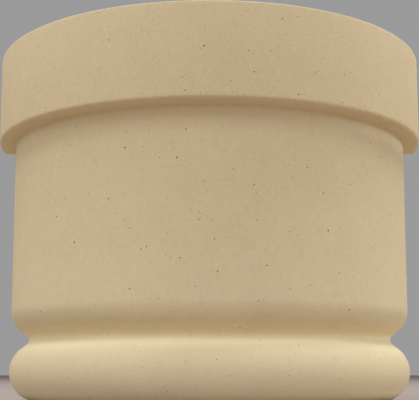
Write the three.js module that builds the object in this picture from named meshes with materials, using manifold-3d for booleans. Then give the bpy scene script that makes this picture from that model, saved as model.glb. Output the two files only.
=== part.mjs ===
// Half-round column capital in cast stone: a plain wide band over a straight neck, whose
// rounded foot runs through a tight groove into a half-round astragal at the bottom bed.
// It is one solid casting with a flat top bed, a flat bottom bed and a flat back.
// Millimetres, +Z up. The origin is on the bottom bed, at the middle of the overall footprint.
// The round front faces -Y and the flat back faces +Y.

import * as THREE from 'three';
import { mergeVertices } from 'three/addons/utils/BufferGeometryUtils.js';
import Module from 'manifold-3d';

// Driving dimensions

const NECK_RADIUS = 152.9;
const NECK_FACE_HEIGHT = 127.2;
const NECK_FOOT_RADIUS = 19.6;

const BAND_PROJECTION = 12.1;
const BAND_HEIGHT = 65.8;
const BAND_LOWER_ARRIS = 2.4;
const BAND_UPPER_ARRIS = 0.9;
const LEDGE_FILLET = 1;
const LEDGE_DRAFT_DEGREES = 3.5;

const GROOVE_DEPTH = 13.5;
const GROOVE_RADIUS = 3.8;
const FLANK_SLOPE_DEGREES = 39.2;

const ASTRAGAL_RADIUS = 22.1;
const ASTRAGAL_PROJECTION = 0.7;

// Fineness of the facets: how far a chord may lie inside its arc, and the sides of a full turn

const FACET_SAG = 0.08;
const SIDES_OF_FULL_TURN = 120;

// Sizes that follow from the driving ones

const bandRadius = NECK_RADIUS + BAND_PROJECTION;
const axisY = bandRadius / 2;

// A point of the profile is its radius from the column's axis and its height above the bed.
const point = (radius, height) => new THREE.Vector2(radius, height);

// A straight flank joins the groove's arc to the arc below it and to the arc above it, tangent
// to both. Both flanks slope alike, one up and one down, and they look out at this angle.
const flankSlope = THREE.MathUtils.degToRad(FLANK_SLOPE_DEGREES);
const flankOutlook = Math.PI / 2 - flankSlope;

// The height of a circle above the one below it, with a flank between them: `reach` is the sum
// of their radii and `offset` is how much further out the groove's centre lies.
function heightAbove(lower, reach, offset) {
  return lower.y + (reach - offset * Math.sin(flankSlope)) / Math.cos(flankSlope);
}

// Centres of the three arcs at the foot, from the bottom up
const astragalCentre = point(NECK_RADIUS + ASTRAGAL_PROJECTION - ASTRAGAL_RADIUS, ASTRAGAL_RADIUS);

const grooveCentreRadius = NECK_RADIUS - GROOVE_DEPTH + GROOVE_RADIUS;
const grooveCentre = point(
  grooveCentreRadius,
  heightAbove(astragalCentre, ASTRAGAL_RADIUS + GROOVE_RADIUS, grooveCentreRadius - astragalCentre.x),
);

const neckFootCentreRadius = NECK_RADIUS - NECK_FOOT_RADIUS;
const neckFootCentre = point(
  neckFootCentreRadius,
  heightAbove(grooveCentre, NECK_FOOT_RADIUS + GROOVE_RADIUS, grooveCentreRadius - neckFootCentreRadius),
);

// The crease is where the neck's face and the ledge would meet without their fillet.
const creaseHeight = neckFootCentre.y + NECK_FACE_HEIGHT;
const topBed = creaseHeight + BAND_HEIGHT;
const ledgeDraft = THREE.MathUtils.degToRad(LEDGE_DRAFT_DEGREES);

// The ledge rises outwards from the crease, so that the casting leaves its mould. This is the
// height of the centre of a circle that touches the ledge, `reach` out from the neck's face.
// `offset` is its radius, below zero where it lies in the air under the ledge.
function heightBesideLedge(reach, offset) {
  return creaseHeight + (reach * Math.sin(ledgeDraft) + offset) / Math.cos(ledgeDraft);
}

// Points of an arc, both ends included. Its steps are as long as the chord's sag allows.
function arc(centre, radius, startAngle, endAngle) {
  const longestStep = 2 * Math.acos(1 - Math.min(1, FACET_SAG / radius));
  const steps = Math.max(2, Math.ceil(Math.abs(endAngle - startAngle) / longestStep));
  return Array.from({ length: steps + 1 }, (_, i) => {
    const angle = THREE.MathUtils.lerp(startAngle, endAngle, i / steps);
    return point(centre.x + radius * Math.cos(angle), centre.y + radius * Math.sin(angle));
  });
}

// The astragal, from the bottom bed up to the groove's lower flank.
function astragalPoints() {
  return arc(astragalCentre, ASTRAGAL_RADIUS, -Math.PI / 2, flankOutlook);
}

// The groove is hollow, so its arc runs the other way round, through its deepest point.
function groovePoints() {
  return arc(grooveCentre, GROOVE_RADIUS, Math.PI + flankOutlook, Math.PI - flankOutlook);
}

// The rounded foot of the neck, which ends upright where the straight face begins.
function neckFootPoints() {
  return arc(neckFootCentre, NECK_FOOT_RADIUS, -flankOutlook, 0);
}

// The small hollow fillet between the neck's face and the ledge under the band.
function ledgeFilletPoints() {
  const centre = point(NECK_RADIUS + LEDGE_FILLET, heightBesideLedge(LEDGE_FILLET, -LEDGE_FILLET));
  return arc(centre, LEDGE_FILLET, Math.PI, Math.PI / 2 + ledgeDraft);
}

// The band, with its eased lower arris and its finer upper one.
function bandPoints() {
  const lowerReach = BAND_PROJECTION - BAND_LOWER_ARRIS;
  const lowerHeight = heightBesideLedge(lowerReach, BAND_LOWER_ARRIS);
  const lowerCentre = point(bandRadius - BAND_LOWER_ARRIS, lowerHeight);
  const upperCentre = point(bandRadius - BAND_UPPER_ARRIS, topBed - BAND_UPPER_ARRIS);
  return [
    ...arc(lowerCentre, BAND_LOWER_ARRIS, ledgeDraft - Math.PI / 2, 0),
    ...arc(upperCentre, BAND_UPPER_ARRIS, 0, Math.PI / 2),
  ];
}

// The whole profile, from the axis at the bottom bed round to the axis at the top bed.
function capitalProfile() {
  return withoutRepeats([
    point(0, 0),
    ...astragalPoints(),
    ...groovePoints(),
    ...neckFootPoints(),
    ...ledgeFilletPoints(),
    ...bandPoints(),
    point(0, topBed),
  ]);
}

// Arcs that meet share their end point, which is kept once.
function withoutRepeats(points) {
  const closest = 1e-6;
  return points.filter((p, i) => i === 0 || p.distanceTo(points[i - 1]) > closest);
}

// A closed geometry as a solid that can be cut. Triangles that shrink to a line, as they
// do where a turned profile meets its axis, are left out.
function toSolid(wasm, geometry) {
  const bare = geometry.clone();
  bare.deleteAttribute('normal');
  bare.deleteAttribute('uv');
  const merged = mergeVertices(bare);
  const index = merged.index.array;
  const triangles = [];
  for (let i = 0; i < index.length; i += 3) {
    const [a, b, c] = index.subarray(i, i + 3);
    if (a !== b && b !== c && c !== a) {
      triangles.push(a, b, c);
    }
  }
  return new wasm.Manifold(new wasm.Mesh({
    numProp: 3,
    vertProperties: new Float32Array(merged.attributes.position.array),
    triVerts: new Uint32Array(triangles),
  }));
}

// A solid back as a geometry with flat facets.
function toGeometry(solid) {
  const mesh = solid.getMesh();
  const geometry = new THREE.BufferGeometry();
  geometry.setAttribute('position', new THREE.BufferAttribute(mesh.vertProperties, 3));
  geometry.setIndex(new THREE.BufferAttribute(mesh.triVerts, 1));
  geometry.computeVertexNormals();
  return geometry;
}

// The profile turned once round the axis, then halved by a box that fills the front.
function capitalGeometry(wasm) {
  const round = new THREE.LatheGeometry(capitalProfile(), SIDES_OF_FULL_TURN);
  round.rotateX(Math.PI / 2);

  const cutterSize = 4 * bandRadius + topBed;
  const front = new THREE.BoxGeometry(cutterSize, cutterSize, cutterSize);
  front.translate(0, -cutterSize / 2, topBed / 2);

  const half = toSolid(wasm, round).intersect(toSolid(wasm, front));
  return toGeometry(half);
}

const wasm = await Module();
wasm.setup();

const castStone = new THREE.MeshStandardMaterial({ color: 0xc3ae8a, roughness: 0.9, metalness: 0 });

const capital = new THREE.Mesh(capitalGeometry(wasm), castStone);
capital.name = 'half_round_capital';
capital.position.y = axisY;

const part = new THREE.Group();
part.name = 'cast_stone_capital';
part.add(capital);

export default part;
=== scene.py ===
"""Half-round column capital in cast stone, finished and lit for a studio picture.

The casting is one turned profile, halved by a flat back. Its face, its two beds, its back
and the eased edges between them are surfaces of two parameters on grids, and the air
holes that a casting keeps are let into single cells of those grids.

Everything is in metres, +Z up, with the round front towards -Y. The column's axis stands
in the flat back.
"""

from __future__ import annotations

import logging
import math
from collections.abc import Callable, Sequence
from dataclasses import dataclass, field
from enum import Enum

import bmesh
import bpy
import numpy as np
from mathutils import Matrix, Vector

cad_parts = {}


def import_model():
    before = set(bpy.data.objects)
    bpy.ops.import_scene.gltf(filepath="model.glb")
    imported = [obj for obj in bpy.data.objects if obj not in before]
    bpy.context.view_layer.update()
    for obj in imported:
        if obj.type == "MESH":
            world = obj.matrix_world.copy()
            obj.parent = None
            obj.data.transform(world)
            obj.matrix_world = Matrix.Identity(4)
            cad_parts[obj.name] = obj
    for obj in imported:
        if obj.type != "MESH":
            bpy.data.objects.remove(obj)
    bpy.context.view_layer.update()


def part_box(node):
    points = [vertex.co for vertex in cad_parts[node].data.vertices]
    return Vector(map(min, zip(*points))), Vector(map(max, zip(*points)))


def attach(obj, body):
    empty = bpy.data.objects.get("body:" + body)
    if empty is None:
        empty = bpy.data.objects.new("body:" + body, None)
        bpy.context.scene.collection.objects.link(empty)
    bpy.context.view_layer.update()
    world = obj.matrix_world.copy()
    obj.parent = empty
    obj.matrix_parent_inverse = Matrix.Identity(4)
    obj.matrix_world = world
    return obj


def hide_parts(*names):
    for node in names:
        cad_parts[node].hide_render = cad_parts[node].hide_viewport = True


Array = np.ndarray
Surface = Callable[[Array, Array], tuple[Array, Array]]

LOG = logging.getLogger("capital")
MM = 0.001
WIDEST_STEP = math.radians(15)
CAD_NODE = "half_round_capital"


class Finish(Enum):
    """The two finishes of the casting, in the order of its material slots."""

    FACED = 0
    STRUCK = 1


# The profile


@dataclass(frozen=True)
class Straight:
    """A straight stretch of the profile, from one point to another.

    Points are (radius from the axis, height above the bed). The stone lies on the left.
    """

    start: tuple[float, float]
    end: tuple[float, float]

    @property
    def length(self) -> float:
        """Length of the stretch."""
        return math.dist(self.start, self.end)

    def steps(self, spacing: float) -> int:
        """Number of equal steps no longer than `spacing`."""
        return max(1, math.ceil(self.length / spacing))

    def at(self, share: Array) -> tuple[Array, Array]:
        """Points and outward normals.

        Point = start + share x (end - start). The normal is the direction turned a
        quarter turn to the right.

        Args:
            share: how far along the stretch, 0 to 1.
        Returns:
            Two arrays with a last axis of (radius, height).
        """
        start = np.array(self.start)
        step = np.array(self.end) - start
        points = start + share[..., None] * step
        normal = np.array([step[1], -step[0]]) / self.length
        return points, np.broadcast_to(normal, points.shape)


@dataclass(frozen=True)
class Arc:
    """A round stretch of the profile. A hollow one has the stone outside its circle."""

    centre: tuple[float, float]
    radius: float
    start: float
    end: float
    hollow: bool = False

    @property
    def length(self) -> float:
        """Length of the stretch."""
        return self.radius * abs(self.end - self.start)

    def steps(self, spacing: float) -> int:
        """Number of equal steps no longer than `spacing` and no wider than WIDEST_STEP."""
        by_angle = math.ceil(abs(self.end - self.start) / WIDEST_STEP)
        return max(by_angle, math.ceil(self.length / spacing))

    def at(self, share: Array) -> tuple[Array, Array]:
        """Points and outward normals.

        Point = centre + radius x spoke, and the normal is the spoke, turned round where
        the arc is hollow.

        Args:
            share: how far along the stretch, 0 to 1.
        Returns:
            Two arrays with a last axis of (radius, height).
        """
        angle = self.start + share * (self.end - self.start)
        spoke = np.stack([np.cos(angle), np.sin(angle)], axis=-1)
        points = np.array(self.centre) + self.radius * spoke
        return points, -spoke if self.hollow else spoke


@dataclass
class Profile:
    """The turned profile between the edges of the two beds, as a chain of stretches.

    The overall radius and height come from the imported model. The arcs at the foot are
    stacked from the bottom up, with a straight flank on each side of the groove.
    """

    band_radius: float
    top_bed: float
    band_projection: float = 12.1 * MM
    band_lower_arris: float = 2.4 * MM
    band_upper_arris: float = 0.9 * MM
    ledge_fillet: float = 1.0 * MM
    ledge_draft: float = math.radians(3.5)
    neck_face_height: float = 127.2 * MM
    neck_foot_radius: float = 19.6 * MM
    groove_depth: float = 13.5 * MM
    groove_radius: float = 3.8 * MM
    flank_slope: float = math.radians(39.2)
    astragal_radius: float = 22.1 * MM
    astragal_projection: float = 0.7 * MM
    runs: list[Straight | Arc] = field(init=False)
    starts: Array = field(init=False)
    ledge_end: int = field(init=False)

    def __post_init__(self) -> None:
        """Works out the chain of stretches."""
        foot = self._foot()
        crease = (
            foot[-1].centre[0] + self.neck_foot_radius,
            foot[-1].centre[1] + self.neck_face_height,
        )
        small = self.ledge_fillet
        fillet = Arc(
            (crease[0] + small, self._beside_ledge(crease, small, outside=True)),
            small, math.pi, math.pi / 2 + self.ledge_draft, hollow=True,
        )
        neck = Straight((crease[0], foot[-1].centre[1]), (crease[0], fillet.centre[1]))
        before_ledge = foot + [neck, fillet]
        self.runs = before_ledge + self._band(crease, fillet)
        self.starts = np.cumsum([0.0] + [run.length for run in self.runs])
        self.ledge_end = len(before_ledge) + 1

    def _foot(self) -> list[Straight | Arc]:
        """The astragal, the groove between its two flanks and the rounded foot of the neck.

        A flank touches the circle below it and the one above it. The height between their
        centres = (sum of radii - offset x sin slope) / cos slope, where offset is how much
        further out the groove's centre lies.
        """
        sine, cosine = math.sin(self.flank_slope), math.cos(self.flank_slope)
        neck = self.band_radius - self.band_projection
        groove_r = neck - self.groove_depth + self.groove_radius
        astragal = (neck + self.astragal_projection - self.astragal_radius, self.astragal_radius)
        reach = self.astragal_radius + self.groove_radius
        groove = (groove_r, astragal[1] + (reach - (groove_r - astragal[0]) * sine) / cosine)
        foot_r = neck - self.neck_foot_radius
        reach = self.neck_foot_radius + self.groove_radius
        foot = (foot_r, groove[1] + (reach - (groove_r - foot_r) * sine) / cosine)

        outlook = math.pi / 2 - self.flank_slope
        low = Arc(astragal, self.astragal_radius, -math.pi / 2, outlook)
        mid = Arc(groove, self.groove_radius, math.pi + outlook, math.pi - outlook, hollow=True)
        high = Arc(foot, self.neck_foot_radius, -outlook, 0.0)
        return [low, self._between(low, mid), mid, self._between(mid, high), high]

    @staticmethod
    def _between(before: Arc, after: Arc) -> Straight:
        """The straight stretch from the end of one arc to the start of another."""
        ends = ((before, 1.0), (after, 0.0))
        return Straight(*(tuple(arc.at(np.array(share))[0]) for arc, share in ends))

    def _beside_ledge(self, crease: tuple[float, float], radius: float, outside: bool) -> float:
        """Height of the centre of a circle that touches the ledge and an upright line.

        The ledge rises outwards from the crease at the draft. Height = crease + (reach x
        sin draft -+ radius) / cos draft, with reach counted outwards from the crease. The
        radius is taken off for a circle in the air and added for one in the stone.

        Args:
            crease: where the neck's line and the ledge's line meet.
            radius: of the circle.
            outside: whether it lies in the corner under the ledge, or in the band's arris.
        """
        sine, cosine = math.sin(self.ledge_draft), math.cos(self.ledge_draft)
        reach = radius if outside else self.band_radius - radius - crease[0]
        return crease[1] + (reach * sine + (-radius if outside else radius)) / cosine

    def _band(self, crease: tuple[float, float], fillet: Arc) -> list[Straight | Arc]:
        """The ledge and the band, with its two eased arrises."""
        radius = self.band_radius
        low = self.band_lower_arris
        high = self.band_upper_arris
        arris = Arc(
            (radius - low, self._beside_ledge(crease, low, outside=False)),
            low, self.ledge_draft - math.pi / 2, 0.0,
        )
        return [
            self._between(fillet, arris),
            arris,
            Straight((radius, arris.centre[1]), (radius, self.top_bed - high)),
            Arc((radius - high, self.top_bed - high), high, 0.0, math.pi / 2),
        ]

    @property
    def length(self) -> float:
        """Length of the whole chain."""
        return float(self.starts[-1])

    def at(self, along: Array) -> tuple[Array, Array]:
        """Points and outward normals at lengths `along` the chain.

        Each stretch answers for the lengths that fall on it.

        Args:
            along: lengths from the bottom bed's edge.
        Returns:
            Two arrays with a last axis of (radius, height).
        """
        along = np.asarray(along, float)
        points = np.empty(along.shape + (2,))
        normals = np.empty_like(points)
        which = np.clip(np.searchsorted(self.starts, along, side="right") - 1, 0, len(self.runs) - 1)
        for i, run in enumerate(self.runs):
            here = which == i
            points[here], normals[here] = run.at((along[here] - self.starts[i]) / run.length)
        return points, normals

    def stations(self, spacing: float, first: int = 0, last: int | None = None) -> Array:
        """Lengths along the chain where a row of the grid lies.

        Args:
            spacing: the longest step.
            first: number of the first stretch.
            last: number after the last stretch.
        Returns:
            Rising lengths, both ends included.
        """
        last = len(self.runs) if last is None else last
        marks = [
            self.starts[i] + self.runs[i].length * np.arange(steps) / steps
            for i in range(first, last)
            for steps in [self.runs[i].steps(spacing)]
        ]
        return np.append(np.concatenate(marks), self.starts[last])


# Air holes


@dataclass
class HoleField:
    """How wide and how deep the random air holes of one patch are.

    Widths follow a steep power law, as holes left by air in a mix do: many fine ones and
    few wide ones.
    """

    rng: np.random.Generator
    narrowest: float = 0.42 * MM
    widest: float = 0.9 * MM
    fall: float = 3.6
    depth_share: tuple[float, float] = (0.55, 0.95)

    def widths(self, count: int) -> Array:
        """Random widths.

        Width = narrowest x (1 - q) to the power -1 / fall, with q even in 0 to 1, and no
        wider than `widest`.
        """
        share = self.rng.random(count)
        return np.minimum(self.narrowest * (1 - share) ** (-1 / self.fall), self.widest)

    def depths(self, widths: Array) -> Array:
        """Random depths, as shares of the widths."""
        return widths * self.rng.uniform(*self.depth_share, len(widths))


@dataclass
class Patch:
    """One surface of the casting: a function of two parameters, on a grid.

    `surface` takes two arrays of parameters and returns points and outward normals, and
    the painted light function takes the second and returns how much paler colour is painted there as
    light, 0 to 1.
    """

    name: str
    across: Array
    along: Array
    surface: Surface
    finish: Finish
    bloom: Callable[[Array], Array] = np.zeros_like

    def grid(self) -> tuple[Array, Array]:
        """Points and normals at the grid's corners, one row of the array for each."""
        u, v = np.meshgrid(self.across, self.along, indexing="ij")
        points, normals = self.surface(u, v)
        return points.reshape(-1, 3), normals.reshape(-1, 3)

    def cells(self) -> Array:
        """The four corners of each cell, in order round it."""
        rows = len(self.along)
        i, j = np.meshgrid(np.arange(len(self.across) - 1), np.arange(rows - 1), indexing="ij")
        low = (i * rows + j).ravel()
        return np.stack([low, low + rows, low + rows + 1, low + 1], axis=1)


@dataclass
class Crater:
    """The form of an air hole: rings of corners that step down into the stone.

    A ring's corners lie at width / 2 x ring share x lobes from the hole's middle. Lobes =
    1 + a x cos(2 x angle + b) + c x cos(3 x angle + d), so that no two holes are alike.
    A cell is at least `room` times as wide as its hole, and `nudge` is the share of a
    patch over which the surface's stretch is measured.
    """

    corners: int = 12
    ring_shares: tuple[float, ...] = (1.0, 0.94, 0.62)
    ring_depths: tuple[float, ...] = (0.0, 0.6, 0.94)
    oval: float = 0.14
    lobed: float = 0.08
    room: float = 1.35
    nudge: float = 1e-4

    def angles(self) -> Array:
        """Angles of a ring's corners, the first towards the cell's first corner."""
        return 2 * math.pi * np.arange(self.corners) / self.corners - 3 * math.pi / 4

    def lobes(self, rng: np.random.Generator, count: int) -> Array:
        """The outline's factor at each corner of each hole."""
        angle = self.angles()[None, :]
        oval = rng.uniform(0, self.oval, (count, 1))
        lobed = rng.uniform(0, self.lobed, (count, 1))
        turn = rng.uniform(0, 2 * math.pi, (2, count, 1))
        return 1 + oval * np.cos(2 * angle + turn[0]) + lobed * np.cos(3 * angle + turn[1])

    def rim_triangles(self) -> Array:
        """Triangles between a cell's four corners and the first ring.

        Corners 0 to 3 are the cell's, and the ring's corners follow. Each side of the cell
        takes a quarter of the ring, as a fan about one end and then about the other.
        """
        quarter = self.corners // 4
        split = (quarter + 1) // 2
        triangles = []
        for side in range(4):
            here, there = side, (side + 1) % 4
            ring = [4 + (side * quarter + k) % self.corners for k in range(quarter + 1)]
            triangles += [(here, ring[k + 1], ring[k]) for k in range(split)]
            triangles.append((here, there, ring[split]))
            triangles += [(there, ring[k + 1], ring[k]) for k in range(split, quarter)]
        return np.array(triangles)

    def wall_quads(self) -> Array:
        """Quads between one ring and the next, counted as in `rim_triangles`."""
        k = np.arange(self.corners)
        after = (k + 1) % self.corners
        rings = range(len(self.ring_shares) - 1)
        return np.concatenate([
            4 + np.stack([k, after, after + self.corners, k + self.corners], axis=1) + r * self.corners
            for r in rings
        ])

    def floor_triangles(self) -> Array:
        """Triangles from the last ring to the hole's bottom, which is the last corner."""
        k = np.arange(self.corners)
        last = 4 + (len(self.ring_shares) - 1) * self.corners
        bottom = 4 + len(self.ring_shares) * self.corners
        return np.stack([last + k, last + (k + 1) % self.corners, np.full_like(k, bottom)], axis=1)


# The mesh


@dataclass
class Shell:
    """The casting's mesh while it is put together from patches."""

    crater: Crater = field(default_factory=Crater)
    points: list[Array] = field(default_factory=list)
    # Marks of each corner: the air holes' painted shade and the share of painted light
    marks: dict[str, list[Array]] = field(default_factory=lambda: {"hollow": [], "bloom": []})
    faces: list[tuple[Array, Finish]] = field(default_factory=list)
    count: int = 0

    def _keep(self, points: Array, hollow: Array, bloom: Array) -> int:
        """Adds corners with their marks and returns the number of the first."""
        first = self.count
        self.points.append(points)
        self.marks["hollow"].append(hollow)
        self.marks["bloom"].append(bloom)
        self.count += len(points)
        return first

    def add(self, patch: Patch, holes: HoleField | None = None, share: float = 0.0,
            placed: Sequence[tuple[float, float, float]] = ()) -> None:
        """Adds a patch, with air holes let into its cells.

        Args:
            patch: the surface.
            holes: the sizes of its air holes.
            share: random air holes for each square millimetre.
            placed: holes with a place of their own, as (across, along, width).
        """
        points, normals = patch.grid()
        # Painted light: the share of paler colour along each row
        bloom = np.tile(patch.bloom(patch.along), len(patch.across))
        first = self._keep(points, np.zeros(len(points)), bloom)
        cells = patch.cells()
        edges = points[cells]
        order = facing(edges, normals[cells].mean(axis=1))
        taken = np.zeros(len(cells), bool)
        if holes is not None:
            chosen, middles, widths = self._choose(patch, edges, holes, share, placed)
            taken[chosen] = True
            self._sink(patch, first + cells[chosen], chosen, middles, widths, holes, order)
        self.faces.append((first + cells[~taken][:, ::order], patch.finish))
        LOG.info("%s: %d cells, %d air holes", patch.name, len(cells), int(taken.sum()))

    def _choose(self, patch: Patch, edges: Array, holes: HoleField, share: float,
                placed: Sequence[tuple[float, float, float]]) -> tuple[Array, Array, Array]:
        """Chooses the cells that get a hole, and the hole's middle and width in each.

        Returns:
            Cell numbers, middles as (across, along) and widths.
        """
        rng = holes.rng
        rows = len(patch.along) - 1
        sides = np.linalg.norm(edges - np.roll(edges, 1, axis=1), axis=2)
        narrow = sides.min(axis=1)
        area = 0.5 * np.linalg.norm(
            np.cross(edges[:, 2] - edges[:, 0], edges[:, 3] - edges[:, 1]), axis=1)
        count = int(round(share * area.sum() / MM ** 2))
        fit = narrow > self.crater.room * holes.narrowest
        chosen = rng.choice(len(edges), min(count, int(fit.sum())), replace=False,
                            p=area * fit / (area * fit).sum())
        widths = np.minimum(holes.widths(len(chosen)), narrow[chosen] / self.crater.room)
        jitter = rng.uniform(-0.5, 0.5, (len(chosen), 2))
        slack = 1 - self.crater.room * widths / narrow[chosen]
        spots = 0.5 + jitter * slack[:, None]

        if placed:
            places = np.array(placed)
            i = np.clip(np.searchsorted(patch.across, places[:, 0]) - 1, 0, len(patch.across) - 2)
            j = np.clip(np.searchsorted(patch.along, places[:, 1]) - 1, 0, rows - 1)
            cell = i * rows + j
            wide = np.minimum(places[:, 2], narrow[cell] / self.crater.room)
            margin = 0.5 * self.crater.room * (wide / narrow[cell])[:, None]
            exact = np.stack([
                (places[:, 0] - patch.across[i]) / (patch.across[i + 1] - patch.across[i]),
                (places[:, 1] - patch.along[j]) / (patch.along[j + 1] - patch.along[j]),
            ], axis=1)
            chosen = np.concatenate([cell, chosen])
            widths = np.concatenate([wide, widths])
            spots = np.concatenate([np.clip(exact, margin, 1 - margin), spots])

        chosen, keep = np.unique(chosen, return_index=True)
        i, j = chosen // rows, chosen % rows
        middles = np.stack([
            patch.across[i] + spots[keep, 0] * (patch.across[i + 1] - patch.across[i]),
            patch.along[j] + spots[keep, 1] * (patch.along[j + 1] - patch.along[j]),
        ], axis=1)
        return chosen, middles, widths[keep]

    def _sink(self, patch: Patch, corners: Array, chosen: Array, middles: Array, widths: Array,
              holes: HoleField, order: int) -> None:
        """Builds the holes of the chosen cells.

        A ring's corner = surface(middle + radius x (cos, sin) / stretch) - depth x normal,
        where stretch is the surface's length for each unit of a parameter.
        """
        crater = self.crater
        count = len(chosen)
        u, v = middles[:, 0], middles[:, 1]
        step_u, step_v = crater.nudge * np.ptp(patch.across), crater.nudge * np.ptp(patch.along)
        middle, normal = patch.surface(u, v)
        stretch_u = np.linalg.norm(patch.surface(u + step_u, v)[0] - middle, axis=1) / step_u
        stretch_v = np.linalg.norm(patch.surface(u, v + step_v)[0] - middle, axis=1) / step_v
        outline = 0.5 * widths[:, None] * crater.lobes(holes.rng, count)
        depth = holes.depths(widths)
        angle = crater.angles()[None, :]

        bottom = (middle - depth[:, None] * normal)[:, None, :]
        rings = []
        for share, sunk in zip(crater.ring_shares, crater.ring_depths):
            ring, outward = patch.surface(
                u[:, None] + share * outline * np.cos(angle) / stretch_u[:, None],
                v[:, None] + share * outline * np.sin(angle) / stretch_v[:, None],
            )
            rings.append(ring - (sunk * depth)[:, None, None] * outward)
        block = np.concatenate(rings + [bottom], axis=1)

        # Painted shade: the corners below the rim take the dark `hollow` colour
        hollow = np.ones(block.shape[:2])
        hollow[:, : crater.corners] = 0.0
        # Painted light: each hole takes the share of paler colour at its spot
        bloom = np.repeat(patch.bloom(v), block.shape[1])
        first = self._keep(block.reshape(-1, 3), hollow.ravel(), bloom)
        number = np.concatenate([
            corners, first + np.arange(block.shape[0] * block.shape[1]).reshape(count, -1),
        ], axis=1)
        for part in (crater.rim_triangles(), crater.wall_quads(), crater.floor_triangles()):
            faces = number[:, part].reshape(-1, part.shape[1])
            self.faces.append((faces[:, ::order], patch.finish))

    def to_object(self, name: str, weld: float, crease: float) -> bpy.types.Object:
        """Makes the Blender object, with its seams welded and its hole rims sharp.

        Args:
            name: the object's name.
            weld: how far apart corners may be and still be one.
            crease: the angle past which an edge is sharp.
        """
        mesh = bpy.data.meshes.new(name)
        mesh.from_pydata(
            np.concatenate(self.points).tolist(), [],
            [face for faces, _ in self.faces for face in faces.tolist()],
        )
        slots = np.concatenate([np.full(len(faces), finish.value) for faces, finish in self.faces])
        mesh.polygons.foreach_set("material_index", slots.astype(np.int32))
        for mark, values in self.marks.items():
            attribute = mesh.attributes.new(mark, "FLOAT", "POINT")
            attribute.data.foreach_set("value", np.concatenate(values).astype(np.float32))
        weld_seams(mesh, weld)
        mesh.shade_smooth()
        mesh.set_sharp_from_angle(angle=crease)
        return in_scene(name, mesh)


def in_scene(name: str, data: bpy.types.ID) -> bpy.types.Object:
    """Makes an object of `data` and puts it in the scene."""
    thing = bpy.data.objects.new(name, data)
    bpy.context.scene.collection.objects.link(thing)
    return thing


def facing(edges: Array, outward: Array) -> int:
    """Which way round the cells' corners have to be read to face outwards: 1 or -1."""
    across = edges[:, 2] - edges[:, 0]
    along = edges[:, 3] - edges[:, 1]
    return 1 if np.sum(np.cross(across, along) * outward) > 0 else -1


def weld_seams(mesh: bpy.types.Mesh, distance: float) -> None:
    """Joins corners closer than `distance`, so that patches share their edges.

    Edges shorter than a tenth of that are taken away.
    """
    work = bmesh.new()
    work.from_mesh(mesh)
    bmesh.ops.remove_doubles(work, verts=work.verts, dist=distance)
    bmesh.ops.dissolve_degenerate(work, edges=work.edges, dist=distance * 0.1)
    work.to_mesh(mesh)
    work.free()


# The casting


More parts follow.
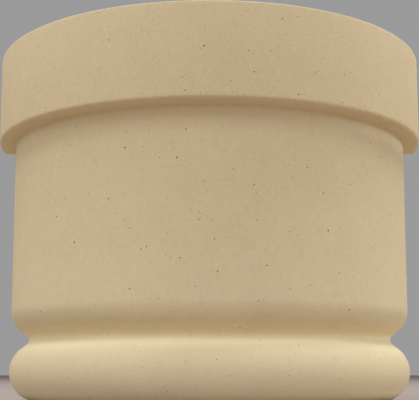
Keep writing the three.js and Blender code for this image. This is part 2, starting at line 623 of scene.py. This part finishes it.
@dataclass
class Casting:
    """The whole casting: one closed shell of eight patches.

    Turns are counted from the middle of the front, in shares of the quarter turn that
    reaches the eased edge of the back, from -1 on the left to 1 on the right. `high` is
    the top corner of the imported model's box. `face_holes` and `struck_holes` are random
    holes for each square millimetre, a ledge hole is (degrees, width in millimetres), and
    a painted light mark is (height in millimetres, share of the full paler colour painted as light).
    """

    high: Vector
    columns: int = 240
    row_spacing: float = 2.1 * MM
    bed_rows: int = 28
    back_arris: float = 0.8 * MM
    arris_steps: int = 4
    weld: float = 0.002 * MM
    crease: float = math.radians(35)
    seed: int = 418
    face_holes: float = 0.0031
    wide_holes: int = 56
    wide_widths: tuple[float, float] = (0.65 * MM, 1.2 * MM)
    ledge_holes: tuple[tuple[float, float], ...] = ((-20, 0.8), (-24, 0.6))
    struck_holes: float = 0.0015
    struck_widest: float = 1.6 * MM
    # Painted light: shares of a paler colour by height, standing in for light on the foot, the groove,
    # the astragal's top, under the ledge and up the band
    painted_light_marks: tuple[tuple[float, float], ...] = (
        (0, 1.0), (7, 1.0), (10, 0.75), (14, 0.56), (20, 0.42), (25, 0.32), (31, 0.3),
        (35, 0.38), (38, 0.62), (41, 1.0), (46, 1.0), (48, 0.66), (50, 0.36), (54, 0.3),
        (58, 0.36), (65, 0.28), (80, 0.27), (115, 0.17), (150, 0.1), (170, 0.08),
        (181, 0.06), (188, 0.42), (192, 0.5), (195, 0.0), (212, 0.0), (238, 0.07),
        (261, 0.14),
    )
    profile: Profile = field(init=False)

    def __post_init__(self) -> None:
        """Takes the profile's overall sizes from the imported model's box."""
        self.profile = Profile(band_radius=self.high.x, top_bed=self.high.z)

    def quarter(self, radius: Array, lean: Array) -> Array:
        """Turn from the front to where the eased edge of the back begins.

        The edge is a quarter round of radius e, centred e inside the face and e inside
        the back, so the cosine of the turn is e / (radius - e x lean), where lean is the
        normal's part away from the axis.
        """
        return np.arccos(self.back_arris / (radius - self.back_arris * lean))

    def face(self, share: Array, along: Array) -> tuple[Array, Array]:
        """The turned face.

        Point = (r sin turn, axis - r cos turn, z), with r and z from the profile.
        """
        points, normals = self.profile.at(along)
        radius, height = points[..., 0], points[..., 1]
        turn = share * self.quarter(radius, normals[..., 0])
        sine, cosine = np.sin(turn), np.cos(turn)
        return (
            np.stack([radius * sine, self.high.y - radius * cosine, height], axis=-1),
            np.stack([normals[..., 0] * sine, -normals[..., 0] * cosine, normals[..., 1]], axis=-1),
        )

    def bed(self, share: Array, reach: Array, along: float) -> tuple[Array, Array]:
        """A flat bed.

        Point = middle of the bed's straight edge + reach x (rim - middle).
        """
        rim, normals = self.face(share, np.full_like(share, along))
        middle = np.array([0.0, self.high.y - self.back_arris, 0.0])
        middle = middle + rim * np.array([0.0, 0.0, 1.0])
        return middle + reach[..., None] * (rim - middle), normals

    def edge_line(self, side: Array, along: Array) -> tuple[Array, Array]:
        """Centre line of the eased edge of the back, and the face's normal beside it."""
        points, normals = self.face(side, along)
        return points - self.back_arris * normals, normals

    def eased(self, centre: Array, normals: Array, swing: Array) -> tuple[Array, Array]:
        """A quarter round from the face's normal to the back's.

        Point = centre + e x unit(cos swing x normal + sin swing x Y).
        """
        back = np.array([0.0, 1.0, 0.0])
        spoke = np.cos(swing)[..., None] * normals + np.sin(swing)[..., None] * back
        spoke = spoke / np.linalg.norm(spoke, axis=-1, keepdims=True)
        return centre + self.back_arris * spoke, spoke

    def side_edge(self, side: float) -> Surface:
        """The eased edge up one side of the back, by swing and length along the profile."""
        def surface(swing: Array, along: Array) -> tuple[Array, Array]:
            """See `eased`."""
            return self.eased(*self.edge_line(np.full_like(along, side), along), swing)
        return surface

    def bed_edge(self, along: float) -> Surface:
        """The eased edge between a bed and the back, by swing and share across."""
        def surface(swing: Array, share: Array) -> tuple[Array, Array]:
            """The centre line runs straight across, at `share` of its half width."""
            centre, normals = self.edge_line(np.ones_like(share), np.full_like(share, along))
            centre = centre * np.stack([share, np.ones_like(share), np.ones_like(share)], axis=-1)
            return self.eased(centre, normals, swing)
        return surface

    def back(self, share: Array, along: Array) -> tuple[Array, Array]:
        """The flat back.

        Point = (share x half width, back, height), where the height goes evenly from the
        outline's own height to one that rises steadily up the middle, level with the
        outline at the beds and under the ledge. So the rows never cross at the ledge.
        """
        outline, _ = self.edge_line(np.ones_like(along), along)
        ends = [0.0, self.profile.starts[self.profile.ledge_end - 1], self.profile.length]
        heights = self.edge_line(np.ones(3), np.array(ends))[0][:, 2]
        middle = np.interp(along, ends, heights)
        far = np.abs(share)
        return (
            np.stack([
                share * outline[..., 0],
                np.full_like(share, self.high.y),
                (1 - far) * middle + far * outline[..., 2],
            ], axis=-1),
            np.broadcast_to([0.0, 1.0, 0.0], share.shape + (3,)),
        )

    def bloom(self, along: Array) -> Array:
        """Painted light: a paler colour, strongest above the bottom bed, in the groove and under the
        ledge.

        Share = the marks' shares by height, eased from each mark to the next.
        """
        heights, shares = np.array(self.painted_light_marks).T
        here = self.profile.at(along)[0][..., 1] / MM
        i = np.clip(np.searchsorted(heights, here) - 1, 0, len(heights) - 2)
        step = np.clip((here - heights[i]) / (heights[i + 1] - heights[i]), 0, 1)
        return shares[i] + (shares[i + 1] - shares[i]) * step ** 2 * (3 - 2 * step)

    def wide(self, rng: np.random.Generator) -> list[tuple[float, float, float]]:
        """The wide air holes of the face, as (share of turn, length along the profile, width).

        Places and widths are random and even. The ledge's own holes follow.
        """
        count = self.wide_holes
        shares = rng.uniform(-1, 1, count)
        along = rng.uniform(0, self.profile.length, count)
        widths = rng.uniform(*self.wide_widths, count)
        ledge = self.profile.starts[self.profile.ledge_end - 1: self.profile.ledge_end + 1].mean()
        quarter = float(self.quarter(*self.profile.at(np.array(ledge))[0][:1], 0.0))
        return [*zip(shares, along, widths)] + [
            (math.radians(turn) / quarter, ledge, width * MM) for turn, width in self.ledge_holes
        ]

    def patches(self) -> dict[str, Patch]:
        """The eight patches, whose grids meet corner to corner."""
        turns = np.linspace(-1, 1, self.columns + 1)
        along = self.profile.stations(self.row_spacing)
        reach = np.linspace(0, 1, self.bed_rows + 1)
        across = np.concatenate([-reach[:0:-1], reach])
        swing = np.linspace(0, math.pi / 2, self.arris_steps + 1)
        top = self.profile.length
        parts = (
            # The face and the side edges carry the painted light
            Patch("face", turns, along, self.face, Finish.FACED, self.bloom),
            Patch("bottom_bed", turns, reach, lambda u, v: self.bed(u, v, 0.0), Finish.STRUCK),
            Patch("top_bed", turns, reach, lambda u, v: self.bed(u, v, top), Finish.STRUCK),
            Patch("back", across, along, self.back, Finish.STRUCK),
            Patch("left_edge", swing, along, self.side_edge(-1.0), Finish.FACED, self.bloom),
            Patch("right_edge", swing, along, self.side_edge(1.0), Finish.FACED, self.bloom),
            Patch("bottom_edge", swing, across, self.bed_edge(0.0), Finish.STRUCK),
            Patch("top_edge", swing, across, self.bed_edge(top), Finish.STRUCK),
        )
        return {part.name: part for part in parts}

    def build(self) -> bpy.types.Object:
        """Builds the casting's mesh, air holes and all."""
        rng = np.random.default_rng(self.seed)
        shell = Shell()
        for name, patch in self.patches().items():
            if name == "face":
                shell.add(patch, HoleField(rng), self.face_holes, self.wide(rng))
            elif name in ("bottom_bed", "top_bed", "back"):
                shell.add(patch, HoleField(rng, widest=self.struck_widest), self.struck_holes)
            else:
                shell.add(patch)
        return shell.to_object("capital_casting", self.weld, self.crease)


# Node groups and finishes


class Graph:
    """The nodes and links of one material or node group."""

    def __init__(self, tree: bpy.types.NodeTree) -> None:
        """Starts on a tree."""
        self.tree = tree

    def node(self, kind: str, feeds: dict[str | int, object] | None = None,
             **options: object) -> bpy.types.Node:
        """Adds a node.

        Args:
            kind: the node's type.
            feeds: values or sockets for its inputs, by name or number.
            options: the node's own settings.
        Returns:
            The node.
        """
        node = self.tree.nodes.new(kind)
        for name, value in options.items():
            setattr(node, name, value)
        for key, value in (feeds or {}).items():
            self.feed(node.inputs[key], value)
        return node

    def feed(self, socket: bpy.types.NodeSocket, value: object) -> None:
        """Links a socket to another, or sets its value."""
        if isinstance(value, bpy.types.NodeSocket):
            self.tree.links.new(value, socket)
        else:
            socket.default_value = value

    def math(self, operation: str, *values: object, clamp: bool = False) -> bpy.types.NodeSocket:
        """Adds a Math node and returns its result."""
        node = self.node("ShaderNodeMath", dict(enumerate(values)), operation=operation)
        node.use_clamp = clamp
        return node.outputs[0]

    def ramp(self, value: bpy.types.NodeSocket, low: object, high: object) -> bpy.types.NodeSocket:
        """A smooth step of `value` from 0 at `low` to 1 at `high`."""
        feeds = {"Value": value, "From Min": low, "From Max": high, "To Min": 0.0, "To Max": 1.0}
        return self.node("ShaderNodeMapRange", feeds, interpolation_type="SMOOTHSTEP").outputs[0]

    def blend(self, share: object, first: object, second: object) -> bpy.types.NodeSocket:
        """Adds a colour Mix node and returns its result."""
        node = self.node("ShaderNodeMix", data_type="RGBA")
        self.feed(node.inputs[0], share)
        self.feed(node.inputs[6], first)
        self.feed(node.inputs[7], second)
        return node.outputs[2]

    def scale_of(self, size: object) -> bpy.types.NodeSocket:
        """Turns the size of a pattern in metres into a texture's scale."""
        return self.math("DIVIDE", 1.0, size)


class Effect(Enum):
    """The effects that both finishes use, each with its inputs and outputs."""

    SAND_GRAIN = ("sand_grain", ("Size", "Contrast"), ("Tone", "Height"))
    PIN_HOLES = ("pin_holes", ("Spacing", "Width"), ("Mask",))
    CAST_MOTTLE = ("cast_mottle", ("Size", "Contrast"), ("Tone",))


@dataclass
class EffectKit:
    """The node groups, each made once and placed wherever it is used."""

    groups: dict[Effect, bpy.types.NodeTree] = field(default_factory=dict)

    def place(self, graph: Graph, effect: Effect, position: bpy.types.NodeSocket,
              **values: float) -> bpy.types.Node:
        """Places an effect in a material.

        Args:
            graph: the material's nodes.
            effect: which effect.
            position: the coordinates that it reads.
            values: its inputs, by name.
        Returns:
            The group's node.
        """
        if effect not in self.groups:
            makers = {
                Effect.SAND_GRAIN: self._sand_grain,
                Effect.PIN_HOLES: self._pin_holes,
                Effect.CAST_MOTTLE: self._cast_mottle,
            }
            self.groups[effect] = self._new(effect, makers[effect])
        node = graph.node("ShaderNodeGroup", node_tree=self.groups[effect])
        graph.feed(node.inputs["Position"], position)
        for name, value in values.items():
            node.inputs[name].default_value = value
        return node

    def _new(self, effect: Effect, fill: Callable[[Graph, bpy.types.Node], tuple]) -> bpy.types.NodeTree:
        """Makes a group and its sockets, and wires what `fill` returns to its outputs."""
        name, inputs, outputs = effect.value
        tree = bpy.data.node_groups.new(name, "ShaderNodeTree")
        tree.interface.new_socket(name="Position", in_out="INPUT", socket_type="NodeSocketVector")
        for socket in inputs:
            tree.interface.new_socket(name=socket, in_out="INPUT", socket_type="NodeSocketFloat")
        for socket in outputs:
            tree.interface.new_socket(name=socket, in_out="OUTPUT", socket_type="NodeSocketFloat")
        graph = Graph(tree)
        entry = graph.node("NodeGroupInput")
        results = fill(graph, entry)
        graph.node("NodeGroupOutput", dict(zip(outputs, results)))
        return tree

    def _sand_grain(self, graph: Graph, entry: bpy.types.Node) -> tuple:
        """Sand grains, each with its own tone, and now and then a dark or pale one.

        Tone = contrast x (random tone of the fine grain + rare tone of the coarse grain).
        About 6 in 100 coarse grains are dark and 3 in 100 are pale.
        """
        coarser, darker = 1.9, 1.6
        fine = graph.node("ShaderNodeTexVoronoi", {
            "Vector": entry.outputs["Position"], "Scale": graph.scale_of(entry.outputs["Size"]),
        })
        coarse = graph.node("ShaderNodeTexVoronoi", {
            "Vector": entry.outputs["Position"],
            "Scale": graph.scale_of(graph.math("MULTIPLY", entry.outputs["Size"], coarser)),
        })
        tones = graph.node("ShaderNodeSeparateColor", {0: fine.outputs["Color"]})
        rare = graph.node("ShaderNodeSeparateColor", {0: coarse.outputs["Color"]})
        even = graph.math("MULTIPLY_ADD", tones.outputs[0], 2.0, -1.0)
        dark = graph.ramp(rare.outputs[0], 0.10, 0.02)
        pale = graph.ramp(rare.outputs[1], 0.94, 0.99)
        odd = graph.math("SUBTRACT", pale, graph.math("MULTIPLY", dark, darker))
        tone = graph.math("MULTIPLY", graph.math("ADD", even, odd), entry.outputs["Contrast"])
        height = graph.math("SUBTRACT", 1.0, fine.outputs["Distance"])
        return tone, height

    def _pin_holes(self, graph: Graph, entry: bpy.types.Node) -> tuple:
        """The finest air holes: balls scattered in space, where the surface cuts them.

        Mask = 1 within a `core` share of a ball's radius and 0 outside it.
        """
        core = 0.7
        balls = graph.node("ShaderNodeTexVoronoi", {
            "Vector": entry.outputs["Position"], "Scale": graph.scale_of(entry.outputs["Spacing"]),
        })
        away = graph.math("MULTIPLY", balls.outputs["Distance"], entry.outputs["Spacing"])
        radius = graph.math("MULTIPLY", entry.outputs["Width"], 0.5)
        return (graph.ramp(away, radius, graph.math("MULTIPLY", radius, core)),)

    def _cast_mottle(self, graph: Graph, entry: bpy.types.Node) -> tuple:
        """Slow changes of tone from the mix and the curing.

        Tone = contrast x (noise - 1/2).
        """
        noise = graph.node("ShaderNodeTexNoise", {
            "Vector": entry.outputs["Position"], "Scale": graph.scale_of(entry.outputs["Size"]),
            "Detail": 3.0, "Roughness": 0.6,
        })
        level = graph.math("SUBTRACT", noise.outputs[0], 0.5)
        return (graph.math("MULTIPLY", level, entry.outputs["Contrast"]),)


@dataclass(frozen=True)
class StoneFinish:
    """The casting's finish: matt sand and cement, with the tones of its grains.

    Colours are linear. Sizes are in metres. The patchiness of the painted light is how much the slow
    tones thin or thicken the paler colour painted as light, `sheen` how much smoother the palest stone
    is than the deepest, and `pin_depth` a pinhole's depth in grains.
    """

    name: str
    pale: tuple[float, float, float]
    deep: tuple[float, float, float]
    # Painted shade: the near-black colour of the air holes and the pinholes
    hollow: tuple[float, float, float] = (0.07, 0.046, 0.026)
    # Painted light: the paler colour, how strong it is and how patchy
    bloom: tuple[float, float, float] = (1.0, 0.885, 0.6)
    painted_light_share: float = 1.0
    painted_light_patchy: float = 1.2
    grain_size: float = 0.8 * MM
    grain_contrast: float = 0.17
    grain_relief: float = 0.03 * MM
    mottle_size: float = 38 * MM
    mottle_contrast: float = 0.35
    cloud_size: float = 6 * MM
    cloud_contrast: float = 0.3
    pin_spacing: float = 5.5 * MM
    pin_width: float = 0.6 * MM
    pin_share: float = 0.5
    pin_depth: float = 3.0
    sheen: float = 0.08
    roughness: float = 0.88
    specular: float = 0.25

    def material(self, kit: EffectKit) -> bpy.types.Material:
        """Makes the material.

        The base colour goes from `deep` to `pale` by 1/2 + the tones of grain, cloud and
        mottle, then to a paler colour painted as light where the painted light mark lies, and to
        `hollow`, a painted shade, in the air holes and the pinholes.

        Args:
            kit: the node groups.
        Returns:
            The material.
        """
        material = bpy.data.materials.new(self.name)
        material.use_nodes = True
        material.node_tree.nodes.clear()
        graph = Graph(material.node_tree)
        position = graph.node("ShaderNodeTexCoord").outputs["Object"]
        grain = kit.place(graph, Effect.SAND_GRAIN, position,
                          Size=self.grain_size, Contrast=self.grain_contrast)
        mottle = kit.place(graph, Effect.CAST_MOTTLE, position,
                           Size=self.mottle_size, Contrast=self.mottle_contrast)
        cloud = kit.place(graph, Effect.CAST_MOTTLE, position,
                          Size=self.cloud_size, Contrast=self.cloud_contrast)
        pins = kit.place(graph, Effect.PIN_HOLES, position,
                         Spacing=self.pin_spacing, Width=self.pin_width)
        slow = graph.math("ADD", mottle.outputs["Tone"], cloud.outputs["Tone"])
        tone = graph.math("ADD", graph.math("ADD", slow, grain.outputs["Tone"]), 0.5, clamp=True)
        stone = graph.blend(tone, (*self.deep, 1.0), (*self.pale, 1.0))
        # Painted light: the paler colour mixed in by the painted light mark, thinned and thickened by
        # the slow tones
        painted_light_fac = graph.node("ShaderNodeAttribute", attribute_name="bloom").outputs["Fac"]
        uneven = graph.math("MULTIPLY_ADD", slow, self.painted_light_patchy, self.painted_light_share)
        painted_light_amount = graph.math("MULTIPLY", painted_light_fac, uneven, clamp=True)
        stone = graph.blend(painted_light_amount, stone, (*self.bloom, 1.0))
        # Painted shade: the air holes' walls and floors, and the pinholes at half strength, take the
        # near-black `hollow` colour
        sunk = graph.node("ShaderNodeAttribute", attribute_name="hollow").outputs["Fac"]
        painted_pin_shade = graph.math("MULTIPLY", pins.outputs["Mask"], self.pin_share)
        dark = graph.math("MAXIMUM", sunk, painted_pin_shade)
        colour = graph.blend(dark, stone, (*self.hollow, 1.0))
        rough = graph.math("MULTIPLY_ADD", tone, -self.sheen, self.roughness + self.sheen / 2)
        relief = graph.math("SUBTRACT", grain.outputs["Height"],
                            graph.math("MULTIPLY", pins.outputs["Mask"], self.pin_depth))
        bump = graph.node("ShaderNodeBump", {
            "Strength": 1.0, "Distance": self.grain_relief, "Height": relief,
        })
        shader = graph.node("ShaderNodeBsdfPrincipled", {
            "Base Color": colour, "Roughness": rough, "Normal": bump.outputs[0],
            "Specular IOR Level": self.specular,
        })
        graph.node("ShaderNodeOutputMaterial", {"Surface": shader.outputs[0]})
        return material


# The face takes the mould's smooth sand skin, and the beds and the back are struck off
FACED_STONE = StoneFinish(
    name="faced_cast_stone", pale=(0.835, 0.68, 0.42), deep=(0.67, 0.54, 0.33),
)
STRUCK_STONE = StoneFinish(
    name="struck_cast_stone", pale=(0.83, 0.68, 0.43), deep=(0.66, 0.525, 0.325),
    grain_size=0.6 * MM, grain_contrast=0.22, grain_relief=0.08 * MM, mottle_size=26 * MM,
    mottle_contrast=0.4, roughness=0.92,
)


# The studio


@dataclass(frozen=True)
class SoftBox:
    """A rectangular soft light that faces the casting.

    Azimuth is counted from the front, to the right. Angles are in degrees.
    """

    name: str
    azimuth: float
    elevation: float
    width: float
    height: float
    power: float
    reach: float = 2.2
    aim_height: float = 0.13

    def build(self) -> bpy.types.Object:
        """Makes the light, at `reach` from the point that it faces."""
        lamp = bpy.data.lights.new(self.name, "AREA")
        lamp.shape = "RECTANGLE"
        lamp.size, lamp.size_y = self.width, self.height
        lamp.energy = self.power
        light = in_scene(self.name, lamp)
        turn, rise = math.radians(self.azimuth), math.radians(self.elevation)
        level = math.cos(rise)
        out = Vector((math.sin(turn) * level, -math.cos(turn) * level, math.sin(rise)))
        light.location = Vector((0.0, 0.0, self.aim_height)) + self.reach * out
        light.rotation_euler = (-out).to_track_quat("-Z", "Y").to_euler()
        return light


@dataclass
class Studio:
    """A plain pale floor, soft boxes round it and a plain pale surround."""

    floor_colour: tuple[float, float, float] = (0.4, 0.338, 0.3)
    floor_roughness: float = 0.95
    floor_specular: float = 0.1
    floor_reach: float = 6.0
    floor_sides: int = 96
    surround: tuple[float, float, float] = (0.325, 0.325, 0.325)
    boxes: tuple[SoftBox, ...] = (
        SoftBox("front_box", 0, 48, 1.0, 0.8, 13.1),
        SoftBox("front_low_box", 0, 34, 1.0, 0.8, 1.4),
        SoftBox("left_box", -60, 45, 0.9, 1.2, 5.7),
        SoftBox("left_low_box", -60, 30, 0.9, 0.9, 2.0),
        SoftBox("left_side_bank", -100, 55, 0.9, 1.3, 9.4),
        SoftBox("left_strip", -97, 15, 0.9, 0.6, 2.1),
        SoftBox("right_side_box", 100, 65, 0.9, 0.9, 20.1),
        SoftBox("right_strip", 97, 15, 0.9, 0.6, 9.4),
        SoftBox("back_box", 180, 35, 1.2, 0.9, 5.5),
    )

    def build(self) -> None:
        """Makes the floor, the surround and the lights."""
        self._floor()
        world = bpy.data.worlds.new("surround")
        world.use_nodes = True
        world.node_tree.nodes["Background"].inputs["Color"].default_value = (*self.surround, 1.0)
        bpy.context.scene.world = world
        for box in self.boxes:
            box.build()

    def _floor(self) -> bpy.types.Object:
        """A round floor: a fan from the middle to a circle of `floor_reach`."""
        angle = 2 * math.pi * np.arange(self.floor_sides) / self.floor_sides
        rim = self.floor_reach * np.stack([np.cos(angle), np.sin(angle), 0 * angle], axis=1)
        k = np.arange(self.floor_sides)
        fans = np.stack([k + 1, (k + 1) % self.floor_sides + 1, np.zeros_like(k)], axis=1)
        mesh = bpy.data.meshes.new("studio_floor")
        mesh.from_pydata(np.vstack([np.zeros((1, 3)), rim]).tolist(), [], fans.tolist())
        material = bpy.data.materials.new("pale_floor")
        material.use_nodes = True
        shader = material.node_tree.nodes["Principled BSDF"]
        shader.inputs["Base Color"].default_value = (*self.floor_colour, 1.0)
        shader.inputs["Roughness"].default_value = self.floor_roughness
        shader.inputs["Specular IOR Level"].default_value = self.floor_specular
        mesh.materials.append(material)
        return in_scene("studio_floor", mesh)


@dataclass(frozen=True)
class PhotoView:
    """The camera at the photograph's viewing angle.

    Lengths in the picture are in pixels of a picture 419 wide.
    """

    picture_width: float = 419.0
    picture_height: float = 400.0
    focal_length: float = 983.0
    optical_row: float = 238.7
    distance: float = 0.7752
    eye_height: float = 0.0221
    tilt: float = math.radians(7.72)
    sensor: float = 36.0
    nearest: float = 0.01
    farthest: float = 50.0

    def build(self, axis_y: float) -> bpy.types.Object:
        """Makes the camera, in front of the column's axis and looking slightly up.

        Args:
            axis_y: where the column's axis stands.
        Returns:
            The camera.
        """
        data = bpy.data.cameras.new("photo_view")
        data.sensor_fit = "HORIZONTAL"
        data.sensor_width = self.sensor
        data.lens = self.focal_length * self.sensor / self.picture_width
        data.shift_y = (self.optical_row - self.picture_height / 2) / self.picture_width
        data.clip_start, data.clip_end = self.nearest, self.farthest
        camera = in_scene("photo_view", data)
        camera.location = (0.0, axis_y - self.distance, self.eye_height)
        camera.rotation_euler = (math.pi / 2 + self.tilt, 0.0, 0.0)
        bpy.context.scene.camera = camera
        return camera


def main() -> None:
    """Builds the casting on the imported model, then the studio and the view."""
    logging.basicConfig(level=logging.INFO, format="%(name)s: %(message)s")
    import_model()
    _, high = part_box(CAD_NODE)

    casting = Casting(high).build()
    kit = EffectKit()
    for finish in (FACED_STONE, STRUCK_STONE):
        casting.data.materials.append(finish.material(kit))
    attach(casting, "root")
    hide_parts(CAD_NODE)
    triangles = sum(len(face.vertices) - 2 for face in casting.data.polygons)
    LOG.info("%s: %d triangles", casting.name, triangles)

    Studio().build()
    PhotoView().build(high.y)
    bpy.context.scene.view_settings.view_transform = "Standard"


if __name__ == "__main__":
    main()
